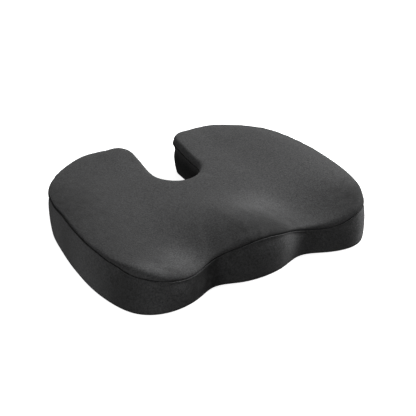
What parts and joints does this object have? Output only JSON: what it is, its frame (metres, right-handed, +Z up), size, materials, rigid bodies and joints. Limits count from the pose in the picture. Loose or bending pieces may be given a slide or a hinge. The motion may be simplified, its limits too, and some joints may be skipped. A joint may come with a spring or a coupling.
{
  "type": "seat cushion",
  "caption": "Contoured foam seat cushion with thigh grooves and a tailbone cut-out open at the back, in a velour cover with a zip underneath.",
  "frame": {"origin": "under the middle of the cushion's bounding box, on the surface it stands on", "axes": "+X across the seat to the sitter's left, +Y towards the back, where the cut-out opens, +Z up"},
  "size_m": [0.4528, 0.3683, 0.0742],
  "materials": {
    "foam": "matt open-cell foam",
    "velour": "short-pile velour, matt with a soft sheen",
    "base_cloth": "woven cloth with small rubber grip dots",
    "zip_tape": "woven tape",
    "zip_coil": "satin",
    "zip_metal": "satin black lacquer"
  },
  "bodies": {
    "cushion": {"foam_core": "foam", "top_panel": "velour", "outer_band": "velour", "cutout_band": "velour", "top_seam_welt": "velour", "base_seam_welt": "velour", "base_front_panel": "base_cloth", "base_rear_panel": "base_cloth", "zip_tape_front": "zip_tape", "zip_tape_rear": "zip_tape", "zip_coil_front": "zip_coil", "zip_coil_rear": "zip_coil", "zip_top_stops": "zip_metal", "zip_bottom_stop": "zip_metal", "zip_end_tabs": "zip_tape"},
    "slider": {"zip_slider": "zip_metal"},
    "pull": {"zip_pull": "zip_metal"}
  },
  "joints": [
    {"name": "zip_slide", "type": "slide", "parent": "cushion", "child": "slider", "axis": [-1, 0, 0], "range_m": [0, 0.294]},
    {"name": "pull_hinge", "type": "hinge", "parent": "slider", "child": "pull", "pos_m": [0.15, -0.02, 0.0019], "axis": [0, -1, 0], "range_deg": [0, 180]}
  ]
}
